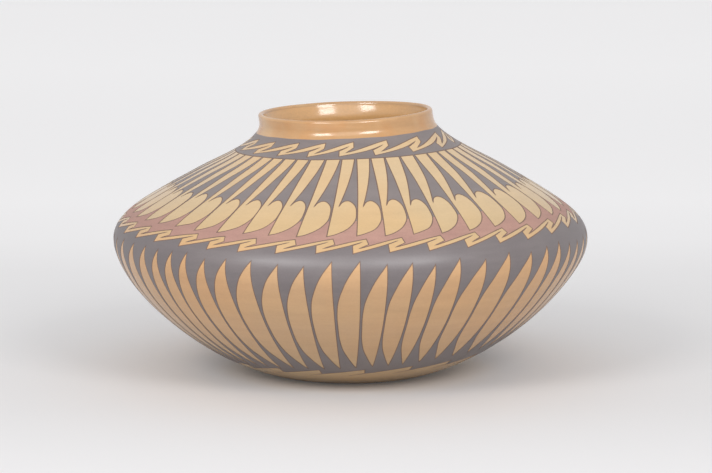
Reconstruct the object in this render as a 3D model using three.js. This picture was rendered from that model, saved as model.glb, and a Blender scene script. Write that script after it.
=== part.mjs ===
// A low, wide-shouldered pottery jar with a short neck, built by hand from coiled clay.
// It is modelled as the clay sections that the potter raises one on top of the other: a dished base,
// the flaring lower wall, the belly, the turn of the shoulder, the sloping shoulder and the collar.
// Each section is luted onto the level top of the one below it.
// Units are millimetres, +Z is up, and the foot stands on z = 0.

import * as THREE from "three";

// Places on the outside of the jar, from the foot up: a radius, a height above the ground and,
// where the wall isn't upright, a slope in degrees. 0 runs outward, 90 straight up, 180 inward.
// The neck stands upright for a short way below the lip.
const FOOT_RADIUS = 41;
const FOOT_SLOPE = 15.5;
const BELLY_RADIUS = 115;
const BELLY_HEIGHT = 65.6;
const SHOULDER_RADIUS = 72.6;
const SHOULDER_HEIGHT = 100;
const SHOULDER_SLOPE = 151;
const NECK_RADIUS = 42.3;
const LIP_HEIGHT = 126.8;
const UPRIGHT_NECK = 4.7;

// How firmly the outline holds its slope as it leaves the lower and meets the upper of two places,
// as a share of the straight distance between them.
const LOWER_WALL_HOLD = [0.41, 0.18];
const SHOULDER_HOLD = [0.19, 0.66];
const NECK_HOLD = [0.24, 0.225];

// Heights of the level seams where one section stands on another, and of the collar, which is the
// top section. One more seam is at the widest place, where the wall turns inward.
const BASE_SEAM_HEIGHT = 13.5;
const FLANK_SEAM_HEIGHT = 41;
const SHOULDER_SEAM_HEIGHT = 86;
const COLLAR_HEIGHT = 12.1;

// Thickness of the clay. The collar thins to its lip, so that the mouth flares inside.
const FLOOR_THICKNESS = 5.5;
const BODY_WALL = 5;
const LIP_THICKNESS = 2.8;

// The hand-built jar isn't quite even. From the belly up its right side rises little by little, and
// the neck leans to the left and dips towards the front. The rise and the dip are slopes at the lip.
// The two powers say how slowly the body's and the neck's lean set in.
const NECK_LEAN_HEIGHT = 108;
const RIGHT_RISE = 0.0395;
const FRONT_DIP = 0.013;
const LIP_SHIFT = -1.9;
const BODY_LEAN_POWER = 1.5;
const NECK_LEAN_POWER = 1.6;

// Fineness of the faceted surfaces: facets round the jar, and up each section and over the lip.
const SEGMENTS = 64;
const BASE_STEPS = 6;
const FLANK_STEPS = 6;
const BELLY_STEPS = 6;
const TURN_STEPS = 8;
const SHOULDER_STEPS = 8;
const NECK_STEPS = 6;
const LIP_STEPS = 4;

// One smooth stretch of the outline between two places.
function stretch(lower, upper, [leaveHold, meetHold]) {
  const [start, end] = [lower, upper].map(({ radius, height }) => new THREE.Vector2(radius, height));
  const distance = start.distanceTo(end);
  const along = ({ slope }, length) => {
    const angle = THREE.MathUtils.degToRad(slope);
    return new THREE.Vector2(Math.cos(angle), Math.sin(angle)).multiplyScalar(length);
  };
  const leave = along(lower, distance * leaveHold).add(start);
  const meet = end.clone().sub(along(upper, distance * meetHold));
  return new THREE.CubicBezierCurve(start, leave, meet, end);
}

const lipRound = LIP_THICKNESS / 2;
const lipEdgeHeight = LIP_HEIGHT - lipRound;
const neckHeight = LIP_HEIGHT - UPRIGHT_NECK;
const collarSeamHeight = LIP_HEIGHT - COLLAR_HEIGHT;
const foot = { radius: FOOT_RADIUS, height: 0, slope: FOOT_SLOPE };
const belly = { radius: BELLY_RADIUS, height: BELLY_HEIGHT, slope: 90 };
const shoulder = { radius: SHOULDER_RADIUS, height: SHOULDER_HEIGHT, slope: SHOULDER_SLOPE };
const neck = { radius: NECK_RADIUS, height: neckHeight, slope: 90 };

// The whole outline from the edge of the foot to the edge of the lip.
const outline = new THREE.CurvePath();
outline.add(stretch(foot, belly, LOWER_WALL_HOLD));
outline.add(stretch(belly, shoulder, SHOULDER_HOLD));
outline.add(stretch(shoulder, neck, NECK_HOLD));
outline.add(new THREE.LineCurve(
  new THREE.Vector2(NECK_RADIUS, neckHeight),
  new THREE.Vector2(NECK_RADIUS, lipEdgeHeight),
));

// The share of the outline's length that lies below a height.
function shareBelow(height) {
  let [low, high] = [0, 1];
  for (let i = 0; i < 40; i++) {
    const middle = (low + high) / 2;
    if (outline.getPoint(middle).y < height) low = middle;
    else high = middle;
  }
  return (low + high) / 2;
}

// The outside of the jar between two heights, evenly spaced, with both ends exactly at their height.
function outsideBetween(lowHeight, highHeight, steps) {
  const [low, high] = [shareBelow(lowHeight), shareBelow(highHeight)];
  return Array.from({ length: steps + 1 }, (_, i) => {
    const share = low + ((high - low) * i) / steps;
    const point = outline.getPoint(share);
    if (i === 0) point.y = lowHeight;
    if (i === steps) point.y = highHeight;
    const slope = outline.getTangent(share).angle();
    return { point, slope };
  });
}

// The inside of the same wall, level with the outside, so that a seam between them is level.
function insideOf(outside) {
  return outside.map(({ point, slope }) => {
    const across = wallThickness(point.y) / Math.sin(slope);
    return new THREE.Vector2(point.x - across, point.y);
  });
}

// How much of the lean a height has: nothing up to where it starts, and all of it at the lip.
function leanAt(height, startHeight) {
  return Math.max(0, (height - startHeight) / (LIP_HEIGHT - startHeight));
}

// Turns a closed profile into a ring or dish of clay, then leans its upper part.
function turned(profile) {
  const geometry = new THREE.LatheGeometry(profile, SEGMENTS);
  geometry.rotateX(Math.PI / 2);
  const position = geometry.getAttribute("position");
  for (let i = 0; i < position.count; i++) {
    const height = position.getZ(i);
    const bodyLean = leanAt(height, BELLY_HEIGHT) ** BODY_LEAN_POWER;
    const neckLean = leanAt(height, NECK_LEAN_HEIGHT) ** NECK_LEAN_POWER;
    const x = position.getX(i) + LIP_SHIFT * neckLean;
    const y = position.getY(i);
    position.setX(i, x);
    position.setZ(i, height + RIGHT_RISE * bodyLean * x + FRONT_DIP * neckLean * y);
  }
  geometry.computeVertexNormals();
  return geometry;
}

// The body's wall is even. Up the collar it thins to the lip, slowly at first and then faster.
function wallThickness(height) {
  if (height < collarSeamHeight) return BODY_WALL;
  const upCollar = (height - collarSeamHeight) / (lipEdgeHeight - collarSeamHeight);
  return BODY_WALL - (BODY_WALL - LIP_THICKNESS) * upCollar ** 2;
}

// A section between two level seams: up the outside, then down the inside and back to the start.
function wallSection(lowHeight, highHeight, steps) {
  const outside = outsideBetween(lowHeight, highHeight, steps);
  const outer = outside.map(({ point }) => point);
  const inner = insideOf(outside).reverse();
  return turned([...outer, ...inner, outer[0].clone()]);
}

// The base is a shallow dish with a flat foot and a flat floor.
function baseSection() {
  const outer = outsideBetween(0, BASE_SEAM_HEIGHT, BASE_STEPS).map(({ point }) => point);
  const aboveFloor = outsideBetween(FLOOR_THICKNESS, BASE_SEAM_HEIGHT, BASE_STEPS);
  const inner = insideOf(aboveFloor).reverse();
  const footCentre = new THREE.Vector2(0, 0);
  const floorCentre = new THREE.Vector2(0, FLOOR_THICKNESS);
  return turned([footCentre, ...outer, ...inner, floorCentre]);
}

// The collar ends in a lip that is rounded over from the outside to the inside.
function collarSection() {
  const outside = outsideBetween(collarSeamHeight, lipEdgeHeight, NECK_STEPS);
  const outer = outside.map(({ point }) => point);
  const inner = insideOf(outside).reverse();
  const rounding = new THREE.Path();
  rounding.absarc(NECK_RADIUS - lipRound, lipEdgeHeight, lipRound, 0, Math.PI, false);
  const overLip = rounding.getPoints(LIP_STEPS).slice(1, -1);
  return turned([...outer, ...overLip, ...inner, outer[0].clone()]);
}

// Burnished tan slip shows on the base, in the painted feathers and on the collar.
// Matt grey paint covers the turn of the shoulder.
const tanSlip = { color: 0xcfa873, roughness: 0.32, metalness: 0 };
const featherTan = { color: 0xd9bd92, roughness: 0.5, metalness: 0 };
const greyPaint = { color: 0x837c7e, roughness: 0.62, metalness: 0 };

const sections = [
  ["base_bowl", baseSection(), tanSlip],
  ["lower_wall", wallSection(BASE_SEAM_HEIGHT, FLANK_SEAM_HEIGHT, FLANK_STEPS), featherTan],
  ["belly_wall", wallSection(FLANK_SEAM_HEIGHT, BELLY_HEIGHT, BELLY_STEPS), featherTan],
  ["shoulder_turn", wallSection(BELLY_HEIGHT, SHOULDER_SEAM_HEIGHT, TURN_STEPS), greyPaint],
  ["shoulder_wall", wallSection(SHOULDER_SEAM_HEIGHT, collarSeamHeight, SHOULDER_STEPS), featherTan],
  ["neck_collar", collarSection(), tanSlip],
];

const vase = new THREE.Group();
for (const [name, geometry, finish] of sections) {
  const mesh = new THREE.Mesh(geometry, new THREE.MeshStandardMaterial(finish));
  mesh.name = name;
  vase.add(mesh);
}

export default vase;
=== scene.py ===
import math
import random

import bpy
import numpy as np
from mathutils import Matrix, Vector
from mathutils.geometry import delaunay_2d_cdt


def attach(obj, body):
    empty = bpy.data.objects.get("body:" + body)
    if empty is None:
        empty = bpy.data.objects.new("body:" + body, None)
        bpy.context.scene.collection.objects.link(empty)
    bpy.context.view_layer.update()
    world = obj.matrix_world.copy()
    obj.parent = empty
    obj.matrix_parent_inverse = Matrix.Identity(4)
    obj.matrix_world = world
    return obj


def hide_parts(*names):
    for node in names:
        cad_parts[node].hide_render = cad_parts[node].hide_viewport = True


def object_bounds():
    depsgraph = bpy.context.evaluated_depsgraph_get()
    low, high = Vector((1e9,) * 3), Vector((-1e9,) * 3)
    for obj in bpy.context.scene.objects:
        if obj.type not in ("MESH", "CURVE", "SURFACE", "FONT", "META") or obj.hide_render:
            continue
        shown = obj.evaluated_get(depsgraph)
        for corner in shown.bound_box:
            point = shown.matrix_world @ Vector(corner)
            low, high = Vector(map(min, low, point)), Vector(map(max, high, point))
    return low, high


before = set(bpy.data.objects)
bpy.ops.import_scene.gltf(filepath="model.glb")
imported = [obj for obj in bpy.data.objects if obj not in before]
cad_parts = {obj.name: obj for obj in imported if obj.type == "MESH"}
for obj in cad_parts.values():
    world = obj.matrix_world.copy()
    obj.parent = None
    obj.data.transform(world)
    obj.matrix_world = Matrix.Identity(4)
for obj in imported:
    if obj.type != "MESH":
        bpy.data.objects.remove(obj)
cad_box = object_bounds()

# The view
# A long lens stands well back and a little above the mouth, so that the mouth shows as a narrow
# oval and the painted shoulder is seen from above. The pot stands just left of the middle.
CAMERA_BACK = 1.3722
CAMERA_HEIGHT = 0.2656
CAMERA_RIGHT = 0.00345
LOOK_DOWN = math.radians(8.32)
LENS_MM = 143.7
SENSOR_MM = 36


def placed(name, data):
    """A new object in the scene."""
    made = bpy.data.objects.new(name, data)
    bpy.context.scene.collection.objects.link(made)
    return made


camera_data = bpy.data.cameras.new("camera")
camera_data.sensor_width = SENSOR_MM
camera_data.lens = LENS_MM
camera = placed("camera", camera_data)
camera.location = (CAMERA_RIGHT, -CAMERA_BACK, CAMERA_HEIGHT)
camera.rotation_euler = (math.pi / 2 - LOOK_DOWN, 0, 0)
bpy.context.scene.camera = camera
bpy.context.scene.view_settings.view_transform = "Standard"

# The studio
# A wide pale paper floor under the pot, two softboxes in front of it at the left and the right, and
# a wide weak one between them. The paper is lighter far behind the pot and at its front edge.
PAPER_REACH = 7.0
PAPER = (0.795, 0.788, 0.797, 1)
BEYOND = (0.80, 0.785, 0.79, 1)
# Metres behind the pot's middle, and how much brighter the paper looks there than it is lit.
PAPER_GLOW = (
    (-0.30, 0.03),
    (-0.10, 0.02),
    (0.0, 0.05),
    (0.15, 0.10),
    (0.30, 0.155),
    (0.43, 0.235),
    (0.62, 0.295),
    (1.7, 0.36),
    (3.0, 0.36),
)
GLOW_TINT = (0.99, 0.99, 1.0)
FILL_LIGHT = 0.57
SOFTBOX_AWAY = 1.25
SOFTBOX_RISE = math.radians(34.5)
# Each softbox's name, its degrees to the right of the front, its size and its power in watts.
SOFTBOXES = (
    ("softbox_left", -35, (0.43, 0.35), 4.0),
    ("softbox_middle", -3, (0.9, 0.7), 1.7),
    ("softbox_right", 30, (0.43, 0.35), 4.0),
)


def shader_node(tree, kind, inputs=(), **settings):
    """One node. Each input takes a plain value, or the socket that feeds it."""
    made = tree.nodes.new(kind)
    for name, value in settings.items():
        setattr(made, name, value)
    for socket, value in dict(inputs).items():
        if isinstance(value, bpy.types.NodeSocket):
            tree.links.new(value, made.inputs[socket])
        else:
            made.inputs[socket].default_value = value
    return made


def empty_material(name):
    """A material with nothing in it but its output, and its node tree."""
    material = bpy.data.materials.new(name)
    material.use_nodes = True
    material.node_tree.nodes.clear()
    output = material.node_tree.nodes.new("ShaderNodeOutputMaterial")
    return material, material.node_tree, output


def number(tree, share, low, high, start=0.25, end=0.75):
    """A number that goes from low to high while the share goes from start to end."""
    inputs = {"Value": share, "From Min": start, "From Max": end, "To Min": low, "To Max": high}
    return shader_node(tree, "ShaderNodeMapRange", inputs).outputs[0]


def ramp(tree, share, stops):
    """A colour ramp: stops are a place from 0 to 1 and a colour."""
    made = shader_node(tree, "ShaderNodeValToRGB", {"Fac": share})
    elements = made.color_ramp.elements
    while len(elements) < len(stops):
        elements.new(0.5)
    for element, (place, colour) in zip(elements, stops):
        element.position = place
        element.color = (*colour[:3], 1)
    return made.outputs["Color"]


def looked_at(tree):
    """1 where a surface is seen, straight or in a reflection, and 0 for the light it gives."""
    rays = shader_node(tree, "ShaderNodeLightPath").outputs
    straight = {0: rays["Is Camera Ray"], 1: rays["Is Glossy Ray"]}
    return shader_node(tree, "ShaderNodeMath", straight, operation="MAXIMUM").outputs[0]


def paper_material():
    """Paper that keeps shadows, looks brighter far off, and is clear from below."""
    material, tree, output = empty_material("pale_paper")
    place = shader_node(tree, "ShaderNodeTexCoord").outputs["Object"]
    depth = shader_node(tree, "ShaderNodeSeparateXYZ", {0: place}).outputs["Y"]
    near, far = PAPER_GLOW[0][0], PAPER_GLOW[-1][0]
    share = number(tree, depth, 0.0, 1.0, near, far)
    stops = [((y - near) / (far - near), [shade * c for c in GLOW_TINT]) for y, shade in PAPER_GLOW]
    glow = {"Color": ramp(tree, share, stops), "Strength": looked_at(tree)}
    shine = shader_node(tree, "ShaderNodeEmission", glow)
    matt = {"Base Color": PAPER, "Roughness": 0.8, "Specular IOR Level": 0.1}
    paper = shader_node(tree, "ShaderNodeBsdfPrincipled", matt)
    above = shader_node(tree, "ShaderNodeAddShader", {0: paper.outputs[0], 1: shine.outputs[0]})
    clear = shader_node(tree, "ShaderNodeBsdfTransparent")
    below = shader_node(tree, "ShaderNodeNewGeometry").outputs["Backfacing"]
    both = {0: below, 1: above.outputs[0], 2: clear.outputs[0]}
    faces = shader_node(tree, "ShaderNodeMixShader", both)
    tree.links.new(faces.outputs[0], output.inputs["Surface"])
    return material


def paper_floor():
    mesh = bpy.data.meshes.new("paper_floor")
    corners = [(-1, -1, 0), (1, -1, 0), (1, 1, 0), (-1, 1, 0)]
    mesh.from_pydata([Vector(c) * PAPER_REACH for c in corners], [], [(0, 1, 2, 3)])
    mesh.materials.append(paper_material())
    floor = placed("paper_floor", mesh)


def softbox(name, to_right, size, power):
    """A soft lamp that looks at the middle of the pot."""
    data = bpy.data.lights.new(name, "AREA")
    data.shape = "RECTANGLE"
    data.size, data.size_y = size
    data.energy = power
    made = placed(name, data)
    aside, reach = math.radians(to_right), math.cos(SOFTBOX_RISE)
    towards = Vector((math.sin(aside) * reach, -math.cos(aside) * reach, math.sin(SOFTBOX_RISE)))
    made.location = towards * SOFTBOX_AWAY
    middle = (cad_box[0] + cad_box[1]) / 2
    made.rotation_euler = (middle - made.location).to_track_quat("-Z", "Y").to_euler()


def studio_air():
    """The world: an even fill light, seen as a pale backdrop beyond the paper."""
    world = bpy.data.worlds.new("studio_air")
    bpy.context.scene.world = world
    world.use_nodes = True
    tree = world.node_tree
    tree.nodes.clear()
    fill = shader_node(tree, "ShaderNodeBackground", {0: (1, 1, 1, 1), 1: FILL_LIGHT})
    beyond = shader_node(tree, "ShaderNodeBackground", {0: BEYOND, 1: 1.0})
    both = {0: looked_at(tree), 1: fill.outputs[0], 2: beyond.outputs[0]}
    air = shader_node(tree, "ShaderNodeMixShader", both)
    output = tree.nodes.new("ShaderNodeOutputWorld")
    tree.links.new(air.outputs[0], output.inputs["Surface"])


paper_floor()
for lamp in SOFTBOXES:
    softbox(*lamp)
studio_air()

# The clay body
# Tan firing clay, coiled and scraped thin, in six rings luted one on another: a low base bowl,
# the lower wall, the belly, the turn of the shoulder, the shoulder and the neck with its collar.
MM = 0.001

# Sizes are in mm, and angles in radians from the front, round to the right. A run is measured along
# the clay from the edge of the foot, up the outside and down the inside.

# Places on the outside: a radius, a height and a slope in degrees, where 90 is straight up.
LIP_HEIGHT = 126.8
FOOT = (41.0, 0.0, 15.5)
BELLY = (115.0, 65.6, 90.0)
SHOULDER = (72.6, 100.0, 151.0)
NECK = (42.3, LIP_HEIGHT - 4.7, 90.0)
# How firmly the outline holds its slope as it leaves the lower and meets the upper of two places.
LOWER_HOLD = (0.41, 0.18)
SHOULDER_HOLD = (0.19, 0.66)
NECK_HOLD = (0.24, 0.225)
# The lip's rounding, the thickness of the clay, and the heights of the level seams.
LIP_ROUND = 1.4
FLOOR_THICKNESS = 5.5
BODY_WALL = 5.0
BASE_SEAM = 13.5
FLANK_SEAM = 41.0
SHOULDER_SEAM = 86.0
COLLAR_SEAM = LIP_HEIGHT - 12.1
# The lean: the right side rises from the belly up, and the neck shifts to the left, dips towards
# the front and waves a little at the lip, where its right side has settled.
NECK_LEAN_HEIGHT = 108.0
BODY_LEAN_POWER = 1.5
NECK_LEAN_POWER = 1.6
RIGHT_RISE = 0.0395
FRONT_DIP = 0.013
LIP_SHIFT = -1.9
LIP_WAVE = -0.2
RIGHT_SETTLED = 0.005
# The scraping: each wave's size, times round the pot, mm of run for a radian and start. The swells
# are mm outward, with how far up and down they reach.
HAND = 0.16
HAND_WAVES = ((0.45, 2, 31, 0.7), (0.30, 5, -19, 2.1), (0.16, 9, 11, 4.0), (0.12, 3, 6.5, 1.3))
RIGHT_SWELL = 0.85
RIGHT_SWELL_REACH = 17.0
LOW_SWELL = 0.22
LOW_SWELL_REACH = 22.0
FRONT_SWELL = 1.2
FRONT_SWELL_REACH = 10.0
FRONT_SWELL_RUN = -3.0
FRONT_SWELL_TURN = -0.24
FRONT_SWELL_SPREAD = 0.7
# How finely the outline is worked out, the faces round the pot and up each ring, and the radius of
# the flat discs that close the foot and the floor.
STRETCH_PLACES = 800
STRAIGHT_PLACES = 400
LIP_PLACES = 60
INSIDE_PLACES = 2400
ROUND = 256
ROW = 1.2
LIP_ROWS = 10
CAP = 3.0


def stretch(low, high, hold):
    """One smooth stretch of the side between two places, each a radius, a height and a slope."""
    start, end = np.array(low[:2]), np.array(high[:2])
    gap = np.linalg.norm(end - start)

    def along(slope, length):
        return length * np.array([math.cos(math.radians(slope)), math.sin(math.radians(slope))])

    leave, meet = along(low[2], gap * hold[0]), along(high[2], gap * hold[1])
    t = np.linspace(0, 1, STRETCH_PLACES)[:, None]
    return (
        (1 - t) ** 3 * start
        + 3 * (1 - t) ** 2 * t * (start + leave)
        + 3 * (1 - t) * t**2 * (end - meet)
        + t**3 * end
    )


def straight(low, high):
    return np.linspace(low, high, STRAIGHT_PLACES)


def joined(*parts):
    """The parts end to end, each shared place once."""
    return np.concatenate([parts[0]] + [part[1:] for part in parts[1:]])


LIP_EDGE = LIP_HEIGHT - LIP_ROUND
outside = joined(
    stretch(FOOT, BELLY, LOWER_HOLD),
    stretch(BELLY, SHOULDER, SHOULDER_HOLD),
    stretch(SHOULDER, NECK, NECK_HOLD),
    straight(NECK[:2], (NECK[0], LIP_EDGE)),
)
over_lip = np.linspace(0, math.pi, LIP_PLACES)
lip = np.stack([np.cos(over_lip), np.sin(over_lip)], axis=1) * LIP_ROUND
lip += (NECK[0] - LIP_ROUND, LIP_EDGE)
# The wall thins up the collar, slowly at first and then faster. It is measured across its slope.
depths = np.linspace(LIP_EDGE, FLOOR_THICKNESS, INSIDE_PLACES)
up_collar = np.clip((depths - COLLAR_SEAM) / (LIP_EDGE - COLLAR_SEAM), 0, None)
wall = BODY_WALL - (BODY_WALL - 2 * LIP_ROUND) * up_collar**2
slope = np.gradient(outside, axis=0)
rise = slope[:, 1] / np.hypot(slope[:, 0], slope[:, 1])
wall /= np.interp(depths, outside[:, 1], rise)
inside = np.stack([np.interp(depths, outside[:, 1], outside[:, 0]) - wall, depths], axis=1)
route = joined(
    straight((0.0, 0.0), FOOT[:2]),
    outside,
    lip,
    inside,
    straight(inside[-1], (0.0, FLOOR_THICKNESS)),
)
steps = np.hypot(*np.diff(route, axis=0).T)
run_of = np.concatenate([[0], np.cumsum(steps)]) - FOOT[0]
way = np.gradient(route, axis=0) / np.gradient(run_of)[:, None]
outside_run = run_of[STRAIGHT_PLACES - 1 :][: len(outside)]
inside_run = run_of[1 - STRAIGHT_PLACES - len(inside) :][: len(inside)]
LIP_RUN = outside_run[-1]
INNER_RUN = LIP_RUN + math.pi * LIP_ROUND
END_RUN = run_of[-1]


def run_at(height):
    """How far up the outside a height lies."""
    return float(np.interp(height, outside[:, 1], outside_run))


def inner_run_at(height):
    """The run of the same height on the inside."""
    return float(np.interp(-height, -inside[:, 1], inside_run))


BELLY_RUN = run_at(BELLY[1])
# How much of the scraping waves shows along the run: nothing at the foot and half at the lip.
HAND_SHOWS = (
    (0, 0),
    (25, 1),
    (LIP_RUN - 30, 1),
    (LIP_RUN - 10, 0.5),
    (INNER_RUN + 30, 1),
    (END_RUN - 60, 0),
)


def unevenness(angle, run):
    """How far the hand-scraped wall swells out or in."""
    waves = sum(
        size * np.sin(times * angle + run / reach + start)
        for size, times, reach, start in HAND_WAVES
    )
    scraped = HAND * np.interp(run, *zip(*HAND_SHOWS)) * waves
    past_belly = run - BELLY_RUN
    to_right = RIGHT_SWELL * np.sin(angle) * np.exp(-((past_belly / RIGHT_SWELL_REACH) ** 2))
    fuller = LOW_SWELL * np.exp(-(((past_belly + LOW_SWELL_REACH) / LOW_SWELL_REACH) ** 2))
    from_front = (np.sin((angle - FRONT_SWELL_TURN) / 2) * 2 / FRONT_SWELL_SPREAD) ** 2
    from_front += ((past_belly - FRONT_SWELL_RUN) / FRONT_SWELL_REACH) ** 2
    return scraped + to_right + fuller + FRONT_SWELL * np.exp(-from_front)


def share_above(height, start):
    """0 up to a starting height, and 1 at the lip."""
    return np.clip((height - start) / (LIP_HEIGHT - start), 0, None)


def skin(angle, run, lift=0.0):
    """Points of the clay's face, lifted off it by some mm."""
    off = lift + unevenness(angle, run)
    radius = np.interp(run, run_of, route[:, 0]) + off * np.interp(run, run_of, way[:, 1])
    height = np.interp(run, run_of, route[:, 1]) - off * np.interp(run, run_of, way[:, 0])
    body_lean = share_above(height, BELLY[1]) ** BODY_LEAN_POWER
    neck_lean = share_above(height, NECK_LEAN_HEIGHT) ** NECK_LEAN_POWER
    x = radius * np.sin(angle) + LIP_SHIFT * neck_lean
    y = -radius * np.cos(angle)
    z = height + RIGHT_RISE * body_lean * x + FRONT_DIP * neck_lean * y
    z += neck_lean * (LIP_WAVE * np.cos(2 * angle) - RIGHT_SETTLED * x)
    return np.stack([x, y, z], axis=-1) * MM


def unit(arrows):
    return arrows / np.maximum(np.linalg.norm(arrows, axis=-1, keepdims=True), 1e-12)


def facing(angle, run, aside=0.002, ahead=0.1):
    """The direction that the clay's face looks in, from places a little aside and ahead."""
    across = skin(angle + aside, run) - skin(angle - aside, run)
    along = skin(angle, run + ahead) - skin(angle, run - ahead)
    return unit(np.cross(across, along))


def finish_mesh(name, points, faces, corner_normals, corner_uvs, materials, face_material=None):
    """A mesh object with its own normals at each corner, its unrolled map and its materials."""
    mesh = bpy.data.meshes.new(name)
    mesh.from_pydata(points.tolist(), [], faces)
    mesh.polygons.foreach_set("use_smooth", [True] * len(faces))
    if face_material is not None:
        mesh.polygons.foreach_set("material_index", face_material)
    unrolled = mesh.uv_layers.new(name="OFBake")
    unrolled.data.foreach_set("uv", np.asarray(corner_uvs, np.float32).ravel())
    mesh.normals_split_custom_set(corner_normals)
    for material in materials:
        mesh.materials.append(material)
    return placed(name, mesh)


def rows_through(*runs):
    """Places along the run, about one row apart, with one at each of the given runs."""
    parts = []
    for low, high in zip(runs, runs[1:]):
        parts.append(np.linspace(low, high, max(2, 1 + math.ceil(abs(high - low) / ROW))))
    return joined(*parts)


# The order of a ring's materials, the strip of its map for flat discs, and a disc's radius there.
OUTSIDE, INSIDE, RUBBED = 0, 1, 2
DISC_STRIP = 0.04
DISC_ON_MAP = 0.01


def clay_ring(name, stretches, materials, closed=True, rubbed_from=LIP_RUN):
    """A turned ring of clay. Stretches are runs of rows, and between two of them lies a flat seam.

    A ring that isn't closed ends in two flat discs. Its outside is rubbed above rubbed_from.
    """
    rows = np.concatenate(stretches)
    seams = np.cumsum([len(part) for part in stretches]) - 1
    angles = np.linspace(-math.pi, math.pi, ROUND + 1)[:-1]
    turned, along = np.meshgrid(angles, rows)
    points = skin(turned, along)
    looks = facing(turned, along)
    faces, normals, uvs, marks = [], [], [], []
    strips = len(rows) if closed else len(rows) - 1
    for low in range(strips):
        high = (low + 1) % len(rows)
        seam = low in seams
        if seam or rows[low] >= INNER_RUN:
            marks += [INSIDE] * ROUND
        else:
            marks += [RUBBED if rows[low] >= rubbed_from else OUTSIDE] * ROUND
        for left in range(ROUND):
            right = (left + 1) % ROUND
            corners = ((low, left), (low, right), (high, right), (high, left))
            faces.append([row * ROUND + column for row, column in corners])
            if seam:
                a, b, c = (points[corner] for corner in corners[:3])
                normals += [unit(np.cross(b - a, c - b))] * 4
            else:
                normals += [looks[corner] for corner in corners]
            for row, column in ((low, left), (low, left + 1), (low + 1, left + 1), (low + 1, left)):
                uvs.append((column / ROUND, DISC_STRIP + (1 - DISC_STRIP) * row / strips))
    if not closed:
        for row, order, mark in ((0, -1, OUTSIDE), (len(rows) - 1, 1, INSIDE)):
            faces.append([row * ROUND + column for column in range(ROUND)][::order])
            normals += [(0, 0, order)] * ROUND
            across, up = DISC_STRIP * (0.5 + mark), DISC_STRIP / 2
            uvs += [
                (across + DISC_ON_MAP * math.sin(a), up + DISC_ON_MAP * math.cos(a))
                for a in angles[::order]
            ]
            marks.append(mark)
    return finish_mesh(name, points.reshape(-1, 3), faces, normals, uvs, materials, marks)


def tone(red, green, blue):
    """A colour as a painter's chart gives it, from 0 to 255, as light."""
    return tuple(
        (c / 255 / 12.92 if c / 255 <= 0.04045 else ((c / 255 + 0.055) / 1.055) ** 2.4)
        for c in (red, green, blue)
    ) + (1,)


def hand_marks_group():
    """Marks that a hand leaves: streaks drawn level round the pot, soft clouds and fine grain."""
    group = bpy.data.node_groups.new("hand_marks", "ShaderNodeTree")
    new_socket = group.interface.new_socket
    new_socket(name="Place", in_out="INPUT", socket_type="NodeSocketVector")
    sizes = {"Streak Size": 30.0, "Streak Flatness": 9.0, "Cloud Size": 20.0, "Grain Size": 900.0}
    for name, default in sizes.items():
        socket = new_socket(name=name, in_out="INPUT", socket_type="NodeSocketFloat")
        socket.default_value = default
    for name in ("Streaks", "Clouds", "Grain"):
        new_socket(name=name, in_out="OUTPUT", socket_type="NodeSocketFloat")
    given = group.nodes.new("NodeGroupInput").outputs
    result = group.nodes.new("NodeGroupOutput")
    flat = shader_node(group, "ShaderNodeCombineXYZ", {0: 1.0, 1: 1.0, 2: given["Streak Flatness"]})
    level_place = {0: given["Place"], 1: flat.outputs[0]}
    drawn = shader_node(group, "ShaderNodeVectorMath", level_place, operation="MULTIPLY")
    for output, vector, size, detail, rough in (
        ("Streaks", drawn.outputs[0], "Streak Size", 5.0, 0.62),
        ("Clouds", given["Place"], "Cloud Size", 3.0, 0.5),
        ("Grain", given["Place"], "Grain Size", 2.0, 0.6),
    ):
        inputs = {"Vector": vector, "Scale": given[size], "Detail": detail, "Roughness": rough}
        noise = shader_node(group, "ShaderNodeTexNoise", inputs)
        group.links.new(noise.outputs[0], result.inputs[output])
    return group


hand_marks = hand_marks_group()


def place_on_pot(tree):
    return shader_node(tree, "ShaderNodeTexCoord").outputs["Object"]


def height_on_pot(tree):
    return shader_node(tree, "ShaderNodeSeparateXYZ", {0: place_on_pot(tree)}).outputs["Z"]


def marked(tree, **sizes):
    """The hand marks placed in a material, with sizes of its own."""
    made = shader_node(tree, "ShaderNodeGroup", node_tree=hand_marks)
    tree.links.new(place_on_pot(tree), made.inputs["Place"])
    for name, value in sizes.items():
        made.inputs[name.replace("_", " ")].default_value = value
    return made.outputs


def varied(tree, colour, mark, low, high):
    """The colour made darker or lighter: low times at a weak mark, and high at a strong one."""
    inputs = {0: colour, "Scale": number(tree, mark, low, high)}
    return shader_node(tree, "ShaderNodeVectorMath", inputs, operation="SCALE").outputs[0]


def mixed(tree, share, one, other, way_of_mixing="MIX"):
    """Two colours, mixed by a share."""
    settings = {"data_type": "RGBA", "blend_type": way_of_mixing}
    return shader_node(tree, "ShaderNodeMix", {0: share, 6: one, 7: other}, **settings).outputs[2]


def scaled_and_added(tree, value, scale, added):
    """The value times a scale, with another value added."""
    inputs = {0: value, 1: scale, 2: added}
    return shader_node(tree, "ShaderNodeMath", inputs, operation="MULTIPLY_ADD").outputs[0]


def relief(tree, strength, distance, height):
    """The normals of a fine relief, its height given by a mark."""
    inputs = {"Strength": strength, "Distance": distance, "Height": height}
    return shader_node(tree, "ShaderNodeBump", inputs).outputs[0]


def fired_face(tree, output, colour, rough, ior, normal):
    """The fired face of clay, slip or paint, joined to the material's output."""
    inputs = {"Base Color": colour, "Roughness": rough, "IOR": ior, "Normal": normal}
    face = shader_node(tree, "ShaderNodeBsdfPrincipled", inputs)
    tree.links.new(face.outputs[0], output.inputs["Surface"])


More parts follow.
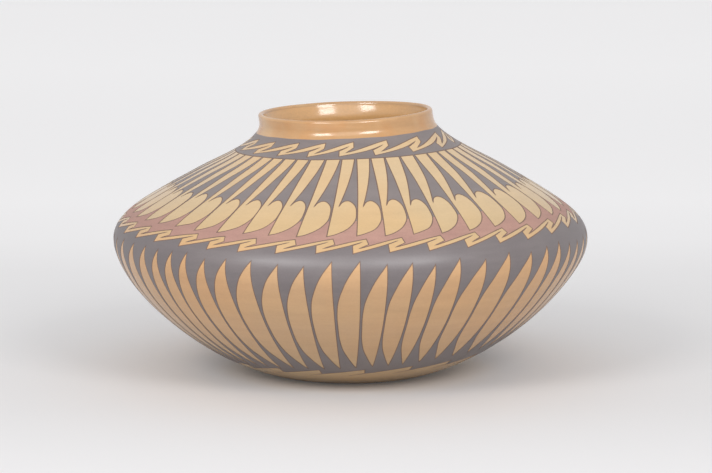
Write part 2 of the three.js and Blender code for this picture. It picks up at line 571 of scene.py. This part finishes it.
# The slip's colour at heights in mm. It is warmest at the belly and palest on the shoulder.
# Its stops hold painted light and shade as well as the slip's own tone: darker towards the foot and
# lighter up to the shoulder, where more light falls.
SLIP_AND_PAINTED_LIGHT_BY_HEIGHT = (
    (0.0, (192, 164, 125)),
    (14.0, (199, 167, 122)),
    (24.0, (199, 164, 123)),
    (36.0, (202, 166, 127)),
    (46.0, (202, 165, 124)),
    (57.0, (203, 164, 123)),
    (65.6, (208, 168, 125)),
    (72.0, (215, 172, 127)),
    (75.0, (211, 176, 131)),
    (80.0, (206, 178, 136)),
    (84.0, (209, 181, 138)),
    (95.0, (215, 187, 146)),
    (116.0, (216, 187, 146)),
)
WARMER = (1.03, 0.96, 0.88, 1)


def slip_material():
    """Fine tan slip, rubbed with a stone until it has a low shine, with painted light and shade in
    its colour by height.
    """
    material, tree, output = empty_material("burnished_slip")
    marks = marked(tree, Streak_Size=26.0, Cloud_Size=17.0)
    top = SLIP_AND_PAINTED_LIGHT_BY_HEIGHT[-1][0]
    share = number(tree, height_on_pot(tree), 0.0, 1.0, 0.0, top * MM)
    stops = [(height / top, tone(*shade)) for height, shade in SLIP_AND_PAINTED_LIGHT_BY_HEIGHT]
    colour = ramp(tree, share, stops)
    warmer = mixed(tree, 1.0, colour, WARMER, "MULTIPLY")
    colour = mixed(tree, number(tree, marks["Clouds"], 0.0, 1.0, 0.4, 0.68), colour, warmer)
    colour = varied(tree, colour, marks["Streaks"], 0.94, 1.05)
    colour = varied(tree, colour, marks["Grain"], 0.975, 1.02)
    rough = number(tree, marks["Streaks"], 0.15, 0.27)
    height = scaled_and_added(tree, marks["Streaks"], 0.25, marks["Grain"])
    fired_face(tree, output, colour, rough, 1.52, relief(tree, 0.05, 0.0001, height))
    return material


COLLAR_SLIP = tone(199, 153, 103)
COLLAR_WARM = tone(201, 142, 82)
COLLAR_PALE = tone(217, 182, 137)


def collar_material():
    """The same slip on the neck, rubbed to a mirror shine, with warm and pale patches in it."""
    material, tree, output = empty_material("mirror_slip")
    marks = marked(tree, Streak_Flatness=11.0, Cloud_Size=46.0)
    wide = marked(tree, Streak_Size=9.0, Streak_Flatness=5.0, Cloud_Size=24.0)
    warm = number(tree, marks["Clouds"], 0.0, 0.8, 0.50, 0.66)
    pale = number(tree, wide["Clouds"], 0.0, 0.7, 0.52, 0.68)
    colour = mixed(tree, warm, COLLAR_SLIP, COLLAR_WARM)
    colour = mixed(tree, pale, colour, COLLAR_PALE)
    colour = varied(tree, colour, marks["Streaks"], 0.92, 1.07)
    colour = varied(tree, colour, marks["Grain"], 0.975, 1.02)
    rough = number(tree, marks["Streaks"], 0.13, 0.21)
    height = scaled_and_added(tree, marks["Streaks"], 0.35, wide["Streaks"])
    fired_face(tree, output, colour, rough, 1.8, relief(tree, 0.12, 0.0002, height))
    return material


BARE_CLAY = tone(190, 150, 112)
INNER_SLIP = tone(221, 172, 116)
# The heights in metres between which the slip inside thins out, and how ragged its edge is.
SLIP_EDGE = (0.1045, 0.1085)
RAGGED = 0.012


def bare_clay_material():
    """Unslipped clay inside, scraped and dull, with the slip brushed in over the lip."""
    material, tree, output = empty_material("bare_clay")
    marks = marked(tree, Streak_Size=40.0, Streak_Flatness=6.0, Cloud_Size=30.0)
    ragged = scaled_and_added(tree, marks["Clouds"], RAGGED, height_on_pot(tree))
    edge = [height + RAGGED / 2 for height in SLIP_EDGE]
    slipped = number(tree, ragged, 0.0, 1.0, *edge)
    colour = mixed(tree, slipped, BARE_CLAY, INNER_SLIP)
    colour = varied(tree, colour, marks["Streaks"], 0.90, 1.06)
    colour = varied(tree, colour, marks["Grain"], 0.94, 1.04)
    shiny = number(tree, marks["Streaks"], 0.14, 0.22)
    rough = shader_node(tree, "ShaderNodeMix", {0: slipped, 2: 0.85, 3: shiny}).outputs[0]
    fired_face(tree, output, colour, rough, 1.75, relief(tree, 0.12, 0.0002, marks["Streaks"]))
    return material


slip = slip_material()
mirror_slip = collar_material()
bare_clay = bare_clay_material()
up = rows_through(CAP - FOOT[0], 0, run_at(BASE_SEAM))
down = rows_through(inner_run_at(BASE_SEAM), inner_run_at(FLOOR_THICKNESS), END_RUN - CAP)
clay_rings = {"base_bowl": clay_ring("base_bowl_clay", [up, down], [slip, bare_clay], closed=False)}
for node, low, high in (
    ("lower_wall", BASE_SEAM, FLANK_SEAM),
    ("belly_wall", FLANK_SEAM, BELLY[1]),
    ("shoulder_turn", BELLY[1], SHOULDER_SEAM),
    ("shoulder_wall", SHOULDER_SEAM, COLLAR_SEAM),
):
    up = rows_through(run_at(low), run_at(high))
    down = rows_through(inner_run_at(high), inner_run_at(low))
    clay_rings[node] = clay_ring(node + "_clay", [up, down], [slip, bare_clay])
# The run from which the collar is rubbed to a mirror shine.
RUBBED_FROM = 192.5
over_the_lip = joined(
    rows_through(run_at(COLLAR_SEAM), RUBBED_FROM, LIP_RUN),
    np.linspace(LIP_RUN, INNER_RUN, LIP_ROWS),
    rows_through(INNER_RUN, inner_run_at(COLLAR_SEAM)),
)
clay_rings["neck_collar"] = clay_ring(
    "neck_collar_clay", [over_the_lip], [slip, bare_clay, mirror_slip], rubbed_from=RUBBED_FROM
)
for node, ring in clay_rings.items():
    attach(ring, "root")
    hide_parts(node)

# The painting
# The slipped pot is marked out by eye and painted before firing, in thin coats of matt paint.
# Each coat is a thin skin on the clay, and what is left bare between the coats stays polished.

# Outlines and paths are drawn in degrees from the front and mm of run.

# In mm: how far paint is sunk into the clay, and how high a coat and a line lie on it. A line's top
# is a share of its foot's width, and the sharper a corner, the wider it spreads, up to a limit.
PAINT_SUNK = 0.02
COAT = 0.045
LINE = 0.08
LINE_TOP = 0.72
SHARPEST_CORNER = 0.42
# A line's rails from its left side to its right: a share of its half width, and a lift.
RAILS = ((1, -PAINT_SUNK), (LINE_TOP, LINE), (-LINE_TOP, LINE), (-1, -PAINT_SUNK))
# The pot is unrolled to a map, cut at the back in radians and drawn past the cut in degrees. Its
# cells are even triangles, 1.7 mm wide at the belly.
CUT = math.pi
UNROLLED = 600
CELL = 1.7 / BELLY[0]
CELL_ROW = 0.866 * CELL
CELL_MARGIN = 0.02
# How near two places are the same one, and how near a place lies on the cut.
SAME_PLACE = 1e-7
ON_CUT = 1e-6
# Where the face, the underside and the rim of a coat lie on its own map, then the length, the rails
# and the ends of a line: a start and a height, or a height alone.
FACE_MAP = (0.12, 0.88)
UNDER_MAP = (0.01, 0.09)
RIM_MAP = 0.005
LINE_MAP = (0.1, 0.9)
RAIL_MAP = 0.002
END_MAP = 0.05
# A level line's places, and its waves: a size, times round the pot and a start in degrees.
EDGE_STEP = 0.9
EDGE_WAVES = ((1.0, 7, 76), (0.6, 17, 200))
random.seed(11)

climb = np.concatenate(
    [[0], np.cumsum(np.diff(outside_run) / ((outside[1:, 0] + outside[:-1, 0]) / 2))]
)


def radius_at(run):
    return np.interp(run, outside_run, outside[:, 0])


def climb_at(run):
    """A run's height on the map: with the angle across and the climb up, shapes keep their form."""
    return np.interp(run, outside_run, climb)


def run_at_climb(up):
    return np.interp(up, climb, outside_run)


def drifted(angle, waves):
    """An even angle in degrees moved by the painter's uneven spacing.

    Each wave is how many times it goes round the pot, its size and its start.
    """
    return angle + sum(
        size * math.sin(math.radians(times * angle + start)) for times, size, start in waves
    )


def by_hand(much):
    """A small difference to either side, as a hand makes it."""
    return random.uniform(-much, much)


def ring_places(count, start, waves, jitter=0.2):
    """Where each of a ring's repeats stands, in degrees, for one repeat more than a full ring."""
    spread = [by_hand(jitter) for _ in range(count)]
    first = -count // 2
    even = [start + 360 / count * index for index in range(first, first + count)]
    places = [drifted(angle, waves) + off for angle, off in zip(even, spread)]
    return np.array(places + [places[0] + 360])


def level(angle, base, tilt, lowest):
    """A level line that tips a little: tilt mm up and down, lowest at an angle in degrees."""
    return base - tilt * np.cos(np.radians(angle - lowest))


def ring_edge(base, tilt, lowest, wave):
    """A hand-drawn level line all the way round, with small waves in it."""
    angle = np.arange(-180, 180, EDGE_STEP)
    waves = sum(
        size * np.sin(np.radians(times * angle + start)) for size, times, start in EDGE_WAVES
    )
    return np.stack([angle, level(angle, base, tilt, lowest) + wave * waves], axis=1)


def smooth(points, steps):
    """A smooth curve through the points, with so many steps between two of them."""
    points = np.array(points, float)
    ends = np.concatenate([[2 * points[0] - points[1]], points, [2 * points[-1] - points[-2]]])
    t = np.linspace(0, 1, steps + 1)[:-1, None]
    parts = []
    for a, b, c, d in zip(ends, ends[1:], ends[2:], ends[3:]):
        squared, cubed = (2 * a - 5 * b + 4 * c - d) * t**2, (3 * b - a - 3 * c + d) * t**3
        parts.append(0.5 * (2 * b + (c - a) * t + squared + cubed))
    return np.concatenate(parts + [points[-1:]])


def filled_in(points, step=1.2):
    """The path with more places between its corners, a step of some mm apart."""
    points = np.array(points, float)
    parts = []
    for a, b in zip(points, points[1:]):
        across = math.radians(b[0] - a[0]) * radius_at((a[1] + b[1]) / 2)
        count = max(1, math.ceil(math.hypot(across, b[1] - a[1]) / step))
        parts.append(a + (b - a) * np.arange(count)[:, None] / count)
    return np.concatenate(parts + [points[-1:]])


def on_map(points):
    """Points in degrees and mm, as angle in radians and climb."""
    points = np.asarray(points, float)
    return np.stack([np.radians(points[:, 0]), climb_at(points[:, 1])], axis=1)


def unrolled_edge(points):
    """A ring's edge unrolled three times round, well past the cut at the back, with level ends."""
    start, end = (-UNROLLED, points[0, 1]), (UNROLLED, points[-1, 1])
    return np.concatenate([[start], points - (360, 0), points, points + (360, 0), [end]])


def band(low_edge, high_edge):
    """The outline of a ring-shaped field between two edges, unrolled."""
    return np.concatenate([unrolled_edge(low_edge), unrolled_edge(high_edge)[::-1]])


def at_both_sides(shape):
    """The shape, and its copies a full turn away where they reach over the cut."""
    turned = [shape + (turn, 0) for turn in (-360, 0, 360)]
    return [copy for copy in turned if abs(copy[:, 0]).min() < math.degrees(CUT)]


def leftwards(outline):
    """The outline drawn with its inside at the left of the brush."""
    following = np.roll(outline, -1, axis=0)
    area = (outline[:, 0] * following[:, 1] - following[:, 0] * outline[:, 1]).sum()
    return outline if area > 0 else outline[::-1]


def ground_cells(field, bare_shapes):
    """Cuts a field into small cells round the shapes left bare in it: the places and the cells."""
    places, edges, faces = [], [], []
    for outline in [field] + bare_shapes:
        first = len(places)
        places += leftwards(on_map(outline)).tolist()
        faces.append(list(range(first, len(places))))
    low = climb_at(field[:, 1].min()) - CELL_MARGIN
    high = climb_at(field[:, 1].max()) + CELL_MARGIN
    columns = round(2 * CUT / CELL)
    rows = math.ceil((high - low) / CELL_ROW)
    for side in (-CUT, CUT):
        edges += [(len(places) + row, len(places) + row + 1) for row in range(rows)]
        places += [(side, low + (high - low) * row / rows) for row in range(rows + 1)]
    for row in range(1, rows):
        staggered = 0.25 if row % 2 else 0.75
        for column in range(columns):
            angle = -CUT + 2 * CUT * (column + staggered) / columns
            places.append((angle, low + (high - low) * row / rows))
    places = [Vector(place) for place in places]
    spots, _, cells, _, _, owners = delaunay_2d_cdt(places, edges, faces, 0, SAME_PLACE)
    spots = np.array([tuple(spot) for spot in spots])
    in_field = np.array([cell for cell, owner in zip(cells, owners) if list(owner) == [0]])
    middles = spots[in_field].mean(axis=1)
    return spots, in_field[abs(middles[:, 0]) < CUT]


def sewn_at_the_cut(spots):
    """For each place, the one that stands for it, so that the two sides of the cut are joined."""
    at_left = {
        round(up, 5): index for index, (angle, up) in enumerate(spots) if abs(angle + CUT) < ON_CUT
    }
    swap = np.arange(len(spots))
    for index, (angle, up) in enumerate(spots):
        if abs(angle - CUT) < ON_CUT and round(up, 5) in at_left:
            swap[index] = at_left[round(up, 5)]
    return swap


def coat(name, field, bare_shapes, paint):
    """A thin closed skin of paint over a field, round the shapes left bare in it."""
    spots, cells = ground_cells(field, bare_shapes)
    used, faces = np.unique(sewn_at_the_cut(spots)[cells], return_inverse=True)
    faces = faces.reshape(-1, 3)
    underside = faces[:, ::-1]
    angle, run = spots[used, 0], run_at_climb(spots[used, 1])
    points = np.concatenate([skin(angle, run, COAT), skin(angle, run, -PAINT_SUNK)])
    looks = facing(angle, run)
    under = len(used)
    sides = [(a, b) for cell in faces.tolist() for a, b in zip(cell, cell[1:] + cell[:1])]
    drawn = set(sides)
    rim = [(a, b) for a, b in sides if (b, a) not in drawn]
    rim_faces = [(b, a, a + under, b + under) for a, b in rim]
    a, b = np.array(rim).T
    rim_looks = -unit(np.cross(looks[a], points[b] - points[a]))
    normals = [looks[faces.ravel()], -looks[underside.ravel()], np.repeat(rim_looks, 4, axis=0)]
    across = (spots[cells][..., 0] / CUT + 1) / 2
    along = (run_at_climb(spots[cells][..., 1]) - run.min()) / (run.max() - run.min())
    face_uv = np.stack([across, FACE_MAP[0] + FACE_MAP[1] * along], axis=-1)
    under_uv = np.stack([across, UNDER_MAP[0] + UNDER_MAP[1] * along], axis=-1)[:, ::-1]
    rim_uv = np.stack([(angle[a] / CUT + 1) / 2, np.full(len(a), RIM_MAP)], axis=1)
    uvs = [face_uv.reshape(-1, 2), under_uv.reshape(-1, 2), np.repeat(rim_uv, 4, axis=0)]
    all_faces = faces.tolist() + (underside + under).tolist() + rim_faces
    normals, uvs = np.concatenate(normals), np.concatenate(uvs)
    return finish_mesh(name, points, all_faces, normals, uvs, [paint])


def brush_lines(name, lines, width):
    """Fine brush lines: each is a path, closed or not, with its own share of the width along it.

    Each line is a low ridge with a flat top, on four rails.
    """
    points, faces, normals, uvs = [], [], [], []
    first = 0
    for path, closed, taper in lines:
        angle, run = np.radians(path[:, 0]), path[:, 1]
        count = len(path)
        after = np.stack([np.roll(angle, -1) - angle, np.roll(run, -1) - run], axis=1)
        after[:, 0] = (after[:, 0] + math.pi) % (2 * math.pi) - math.pi
        after[:, 0] *= radius_at(run)
        after = unit(after)
        if not closed:
            after[-1] = after[-2]
        before = np.roll(after, 1, axis=0)
        if not closed:
            before[0] = after[0]
        middle = unit(after + before)
        spread = 1 / np.maximum((middle * after).sum(axis=1), SHARPEST_CORNER)
        beside = np.stack([-middle[:, 1], middle[:, 0]], axis=1)
        beside *= (spread * width / 2 * taper)[:, None]
        rails = []
        for share, lift in RAILS:
            place = angle + share * beside[:, 0] / radius_at(run), run + share * beside[:, 1]
            rails.append(skin(*place, lift))
        points.append(np.stack(rails, axis=1).reshape(-1, 3))
        looks = facing(angle, run)
        round_map = angle / math.pi / 2 % 1
        up_map = LINE_MAP[0] + LINE_MAP[1] * run / LIP_RUN
        for index in range(count if closed else count - 1):
            following = (index + 1) % count
            here, there = first + 4 * index, first + 4 * following
            for rail in range(4):
                right = (rail + 1) % 4
                faces.append((here + rail, here + right, there + right, there + rail))
                sign = -1 if rail == 3 else 1
                for spot in (index, index, following, following):
                    normals.append(looks[spot] * sign)
                    uvs.append((round_map[spot], up_map[spot] - rail * RAIL_MAP))
        if not closed:
            for index, order in ((0, -1), (count - 1, 1)):
                faces.append([first + 4 * index + rail for rail in range(4)][::order])
                normals += [looks[index]] * 4
                uvs += [(round_map[index], END_MAP)] * 4
        first += 4 * count
    return finish_mesh(name, np.concatenate(points), faces, normals, uvs, [line_paint])


def whole(paths):
    """Closed lines of an even width."""
    return [(path, True, np.ones(len(path))) for path in paths]


def paint_material(name, colour, thin_colour, rough, ior):
    """Matt mineral paint, brushed on in one thin coat, so that it is a little thinner in places."""
    material, tree, output = empty_material(name)
    marks = marked(tree, Streak_Size=60.0, Streak_Flatness=7.0, Cloud_Size=34.0, Grain_Size=1300.0)
    thin = number(tree, marks["Clouds"], 0.0, 0.5, 0.42, 0.75)
    shade = mixed(tree, thin, colour, thin_colour)
    shade = varied(tree, shade, marks["Streaks"], 0.90, 1.10)
    shade = varied(tree, shade, marks["Grain"], 0.95, 1.05)
    gloss = number(tree, marks["Streaks"], rough - 0.06, rough + 0.06)
    fired_face(tree, output, shade, gloss, ior, relief(tree, 0.25, 0.00006, marks["Grain"]))
    return material


# One grey paint in two copies. The darker copy for the leaf ground has painted shade in its colour:
# it is the same paint as the grey above, made darker for the lower part of the pot.
GREY, THIN_GREY = tone(121, 111, 110), tone(140, 129, 125)
SHADED_GREY, THIN_SHADED_GREY = tone(106, 97, 98), tone(124, 115, 113)
RUST, THIN_RUST = tone(175, 134, 122), tone(192, 152, 134)
BROWN, THIN_BROWN = tone(116, 92, 79), tone(141, 112, 91)
grey_paint = paint_material("grey_paint", GREY, THIN_GREY, 0.46, 1.85)
shaded_grey_paint = paint_material("shaded_grey_paint", SHADED_GREY, THIN_SHADED_GREY, 0.46, 1.93)
rust_paint = paint_material("rust_paint", RUST, THIN_RUST, 0.58, 1.6)
line_paint = paint_material("outline_paint", BROWN, THIN_BROWN, 0.6, 1.6)


def lay(piece):
    """A coat rides with the clay."""
    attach(piece, "root")


# The neck band
# A grey band round the foot of the neck, with a tan ribbon left bare in it that jags like
# lightning: long rising strokes, each folded back on itself. Fine brown lines edge the ribbon.
RIBBON_LINE = 0.5
NECK_JAGS = 19
NECK_JAG_START = 7.68
NECK_JAG_WAVES = ((1, 1.15, 180), (2, 2.28, 313), (3, 1.59, 252), (4, 1.60, 184))
# A level is a run, how many mm it tips, and the angle at which it is lowest.
NECK_JAG_LEVEL = (191.7, 0.6, -90)
NECK_STROKE_BOW = 0.6
COLLAR_EDGE = ring_edge(193.8, 0.55, -90, 0.12)
FEATHER_TOP_EDGE = ring_edge(180.0, 0.55, -70, 0.10)
# Each jag's corners, measured from its tip: a share of the pitch across and mm up.
NECK_JAG = {
    "fold": (-0.02, -3.7),
    "low_wedge": (-0.29, -7.2),
    "low_corner": (-0.51, -10.0),
    "step": (-0.52, -6.0),
    "high_wedge": (-0.19, -2.9),
}
JAG_LIFT = 0.35
STROKE_PLACES = 14


def lightning(count, start, waves, heights, jag, bow):
    """The high and the low edge of a jagged ribbon round the pot.

    Bow fattens its long strokes, most of all a little past their middle.
    """
    places = ring_places(count, start, waves)
    lifts = [by_hand(JAG_LIFT) for _ in range(count)]
    lifts.append(lifts[0])
    high, low = [], []

    def corner(index, which):
        pitch = places[max(index, 1)] - places[max(index, 1) - 1]
        across, up = jag[which] if which else (0, 0)
        base = level(places[index], *heights) + lifts[index]
        return np.array([places[index] + across * pitch, base + up])

    def long_stroke(start_at, end_at, out):
        t = np.linspace(0, 1, STROKE_PLACES)[:-1, None]
        return start_at + (end_at - start_at) * t + (0, out) * np.sin(math.pi * t**1.5)

    for index in range(count):
        tip, fold, wedge = corner(index, ""), corner(index, "fold"), corner(index, "low_wedge")
        high += [tip[None], filled_in([tip, fold, wedge])[1:-1]]
        high.append(long_stroke(wedge, corner(index + 1, ""), bow))
        wedge, step, foot = (corner(index, which) for which in ("high_wedge", "step", "low_corner"))
        low.append(filled_in([wedge, step, foot])[:-1])
        low.append(long_stroke(foot, corner(index + 1, "high_wedge"), -bow))
    return np.concatenate(high), np.concatenate(low)


neck_high, neck_low = lightning(
    NECK_JAGS, NECK_JAG_START, NECK_JAG_WAVES, NECK_JAG_LEVEL, NECK_JAG, NECK_STROKE_BOW
)
neck_field = band(FEATHER_TOP_EDGE, COLLAR_EDGE)
lay(coat("neck_band_paint", neck_field, [band(neck_low, neck_high)], grey_paint))
lay(brush_lines("neck_ribbon_lines", whole([neck_high, neck_low]), RIBBON_LINE))

# The shoulder ribbon
# A smaller ribbon of the same kind runs round the edge of the shoulder, under the feathers'
# tips, with rust paint over it and grey paint under it.
RIBBON_JAGS = 39
RIBBON_START = -3.54
RIBBON_WAVES = ((2, 1.12, 258), (4, 0.46, 144), (10, 0.48, 152))
RIBBON_LEVEL = (119.8, 1.3, -90)
RIBBON_JAG = {
    "fold": (0.059, -3.3),
    "low_wedge": (-0.23, -5.6),
    "low_corner": (-0.41, -8.4),
    "step": (-0.42, -3.85),
    "high_wedge": (-0.136, -1.9),
}
RIBBON_STROKE_BOW = 0.3
ribbon_high, ribbon_low = lightning(
    RIBBON_JAGS, RIBBON_START, RIBBON_WAVES, RIBBON_LEVEL, RIBBON_JAG, RIBBON_STROKE_BOW
)
ribbon_edges = whole([ribbon_high, ribbon_low])
lay(brush_lines("shoulder_ribbon_lines", ribbon_edges, RIBBON_LINE))

# The feathers
# Forty-seven long feathers hang from the neck band over the shoulder: a straight quill that
# widens into a round blade with its tip at the left. Grey paint fills the gaps between the
# quills, rust paint the gaps under the blades, and a brown line goes round each feather.
FEATHER_LINE = 0.58
FEATHERS = 47
FEATHER_START = 3.38
FEATHER_WAVES = ((2, 1.84, 249), (4, 0.83, 148), (7, 0.27, 33))
QUILL_START = 4.65
QUILL_WAVES = ((1, 0.65, 180), (2, 0.43, 243), (3, 0.75, 228), (8, 0.41, 102))
FEATHER_TIP_LEVEL = (121.7, 0.9, -60)
FEATHER_TIP_UNEVEN = 0.5
NOTCH_RISE = 20.9
NOTCH_UNEVEN = 0.8
# The blade's edge from the notch over its top and down its right side: a share of the pitch from
# the tip and mm above the notch. The second half moves with the blade's widest place.
BLADE_TOP = ((0.335, 0.0), (0.46, 2.9), (0.67, 4.2), (0.86, 3.0))
BLADE_SIDE = ((-0.02, -0.4), (0.0, -5.3), (-0.065, -10.7), (-0.33, -16.2))
BLADE_FOOT = (0.31, 1.5)
# The blade's widest place in pitches, between two limits, and how much it grows at the left.
BLADE_WIDE = (1.01, 1.03)
FULLER_AT_LEFT = 0.03
# The quill bends once on each side: a share of the way to its top there, and a height.
QUILL_LEFT_BEND = (0.30, 17)
QUILL_RIGHT_BEND = (0.57, 163.0)
QUILL_GAP = (0.5, 1.0)
UNDER_BAND = 2.0
PAINT_JOIN = ring_edge(133.5, 2.6, -45, 0.05)
feather_places = ring_places(FEATHERS, FEATHER_START, FEATHER_WAVES)
feather_tops = ring_places(FEATHERS, QUILL_START, QUILL_WAVES)


def feather(tip, next_tip, left_top, right_top, wide):
    """One feather's outline, and the same shape run on under the neck band."""
    pitch = next_tip - tip
    down = float(level(tip, *FEATHER_TIP_LEVEL)) + by_hand(FEATHER_TIP_UNEVEN)
    notch = down + NOTCH_RISE + by_hand(NOTCH_UNEVEN)
    top_edge = FEATHER_TOP_EDGE.T
    left_up, right_up = np.interp([left_top, right_top], top_edge[0], top_edge[1], period=360)
    blade = [(tip + share * pitch, notch + up) for share, up in BLADE_TOP]
    blade += [(tip + (wide + share) * pitch, notch + up) for share, up in BLADE_SIDE]
    blade += [(tip + BLADE_FOOT[0] * pitch, down + BLADE_FOOT[1]), (tip, down)]
    notch_at = blade[0][0]
    left_bend = (tip + QUILL_LEFT_BEND[0] * (left_top - tip), down + QUILL_LEFT_BEND[1])
    right_bend = (notch_at + QUILL_RIGHT_BEND[0] * (right_top - notch_at), QUILL_RIGHT_BEND[1])
    blade = smooth(blade, steps=4)[:-1]
    left = smooth([(tip, down), left_bend, (left_top, left_up)], steps=24)
    right = smooth([(right_top, right_up), right_bend, (notch_at, notch)], steps=16)[:-1]
    top = filled_in([left[-1], right[0]])[:-1]
    beyond_top = [(left_top, left_up + UNDER_BAND), (right_top, right_up + UNDER_BAND)]
    outline = np.concatenate([blade, left[:-1], top, right])
    return outline, np.concatenate([blade, left, beyond_top, right])


feather_outlines, feather_cuts = [], []
for index in range(FEATHERS):
    tip, next_tip = feather_places[index : index + 2]
    right_top = feather_tops[index + 1] - random.uniform(*QUILL_GAP)
    wide = random.uniform(*BLADE_WIDE) - FULLER_AT_LEFT * math.sin(math.radians(tip))
    outline, cut = feather(tip, next_tip, feather_tops[index], right_top, wide)
    feather_outlines.append(outline)
    feather_cuts += at_both_sides(cut)

quill_field, blade_field = band(PAINT_JOIN, FEATHER_TOP_EDGE), band(ribbon_high, PAINT_JOIN)
lay(coat("quill_gap_paint", quill_field, feather_cuts, grey_paint))
lay(coat("rust_band_paint", blade_field, feather_cuts, rust_paint))
lay(brush_lines("feather_lines", whole(feather_outlines), FEATHER_LINE))

# The leaves
# Sixty long leaves stand side by side round the belly, each with its point at the upper right,
# an upright right side and a full round left side. Grey paint fills the shoulder over them, the
# gaps between them, and a band under them that ends in long saw teeth.
LEAF_LINE = 0.44
LEAVES = 60
LEAF_START = 3.19
LEAF_FOOT_START = 3.39
LEAF_WAVES = ((2, 1.37, 298), (7, 0.83, 106), (10, 0.33, 304))
LEAF_TOP_LEVEL = (107.4, 0.5, -20)
LEAF_TOP_UNEVEN = 1.6
LEAF_FOOT_LEVEL = (32.3, 8.9, -93)
LEAF_FOOT_UNEVEN = 0.8
# In degrees: the gap between two leaves, and how far a leaf's right side bows out.
LEAF_GAP = (0.45, 0.80)
LEAF_BOW = (0.02, 0.16)
# How full the left side is: shares of the way up from the foot, and of the room for the leaf.
LEAF_FULLNESS = (
    (0.06, 0.26),
    (0.155, 0.57),
    (0.26, 0.84),
    (0.38, 0.97),
    (0.50, 1.0),
    (0.62, 1.0),
    (0.73, 0.92),
    (0.825, 0.73),
    (0.91, 0.46),
)
TEETH = 20
TOOTH_START = 7.0
TOOTH_LEVEL = (23.8, 4.4, -100)
TOOTH_RISE = 5.6
TOOTH_BACK = 0.4
TOOTH_LINE = 0.5
# The stroke that runs on from each tooth's foot: degrees to the left and mm down. It thins out.
TOOTH_STROKE = (6.5, 3.4)
TOOTH_STROKE_PLACES = 8
TOOTH_STROKE_END = 0.35
leaf_places = ring_places(LEAVES, LEAF_START, LEAF_WAVES)
leaf_feet = ring_places(LEAVES, LEAF_FOOT_START, LEAF_WAVES, jitter=0.35)


def leaf(previous, place, previous_foot, foot):
    """One leaf's outline: up the full left side and down the upright right side."""
    top = float(level(place, *LEAF_TOP_LEVEL)) + by_hand(LEAF_TOP_UNEVEN)
    low = float(level(place, *LEAF_FOOT_LEVEL)) + by_hand(LEAF_FOOT_UNEVEN)
    gap = random.uniform(*LEAF_GAP)

    def right_side(share):
        return place + (foot - place) * (1 - share)

    def left_side(share, full):
        room = right_side(share) - (previous + (previous_foot - previous) * (1 - share)) - gap
        return right_side(share) - full * room

    left = [(left_side(share, full), low + (top - low) * share) for share, full in LEAF_FULLNESS]
    left = smooth([(foot, low)] + left + [(place, top)], steps=8)
    bow = random.uniform(*LEAF_BOW)
    right = [
        (right_side(share) + bow * math.sin(math.pi * share), low + (top - low) * share)
        for share in (0.75, 0.5, 0.25)
    ]
    right = smooth([(place, top)] + right + [(foot, low)], steps=16)
    return np.concatenate([left[:-1], right[:-1]])


leaf_outlines, leaf_cuts = [], []
for index in range(LEAVES):
    before, back = (index - 1, 0) if index else (LEAVES - 1, 360)
    outline = leaf(
        leaf_places[before] - back, leaf_places[index], leaf_feet[before] - back, leaf_feet[index]
    )
    leaf_outlines.append(outline)
    leaf_cuts += at_both_sides(outline)

tooth_places = ring_places(TEETH, TOOTH_START, (), jitter=1.2)
teeth, tooth_strokes = [], []
for here, there in zip(tooth_places, tooth_places[1:]):
    foot = (here + TOOTH_BACK, level(here, *TOOTH_LEVEL))
    next_low = level(there, *TOOTH_LEVEL)
    corners = [foot, (there, next_low + TOOTH_RISE), (there + TOOTH_BACK, next_low)]
    teeth.append(filled_in(corners)[:-1])
    stroke_end = (foot[0] - TOOTH_STROKE[0], foot[1] - TOOTH_STROKE[1])
    stroke = np.linspace(foot, stroke_end, TOOTH_STROKE_PLACES)
    taper = np.linspace(1, TOOTH_STROKE_END, TOOTH_STROKE_PLACES)
    tooth_strokes.append((stroke, False, taper))
tooth_edge = np.concatenate(teeth)

leaf_field = band(tooth_edge, ribbon_low)
# The leaf ground takes the darker copy of the grey paint, which carries painted shade.
lay(coat("leaf_ground_paint", leaf_field, leaf_cuts, shaded_grey_paint))
lay(brush_lines("leaf_lines", whole(leaf_outlines), LEAF_LINE))
lay(brush_lines("tooth_lines", whole([tooth_edge]) + tooth_strokes, TOOTH_LINE))
